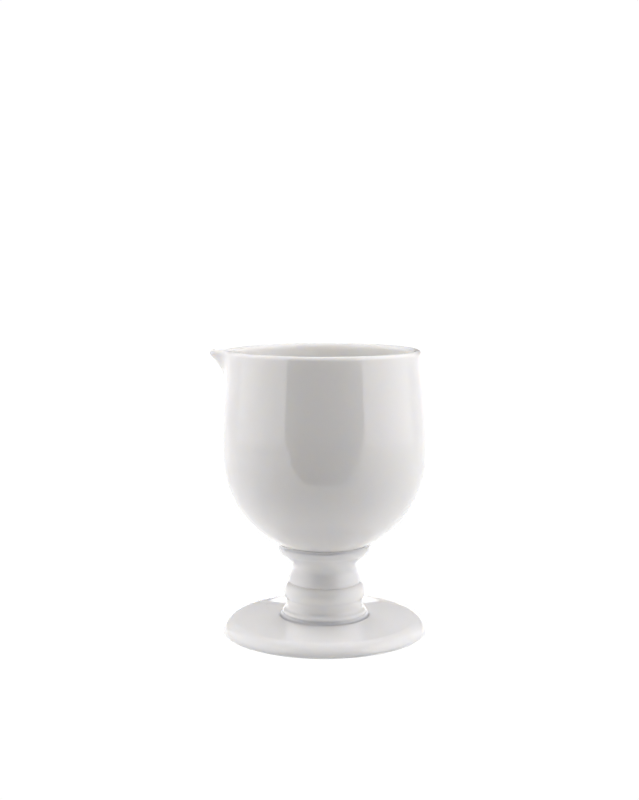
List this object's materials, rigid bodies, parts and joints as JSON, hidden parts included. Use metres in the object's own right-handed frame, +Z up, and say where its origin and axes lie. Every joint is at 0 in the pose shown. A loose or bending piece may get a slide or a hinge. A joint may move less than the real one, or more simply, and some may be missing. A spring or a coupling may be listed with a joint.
{
  "type": "stemmed cream jug",
  "caption": "Round porcelain cream jug with a small pulled pouring lip, on a short turned stem and a flat round foot.",
  "frame": {"origin": "on the turned axis, at the plane that the standing ring rests on", "axes": "+Z up along the turned axis, -X towards the pouring lip"},
  "size_m": [0.0812, 0.077, 0.1063],
  "materials": {
    "glazed_porcelain": "clear gloss glaze over white porcelain",
    "bare_porcelain": "fired, unglazed, fine matt"
  },
  "bodies": {
    "root": {"bowl": "glazed_porcelain", "bowl_slip": "bare_porcelain", "stem": "glazed_porcelain", "foot_slip": "bare_porcelain", "foot": "glazed_porcelain"}
  },
  "joints": []
}
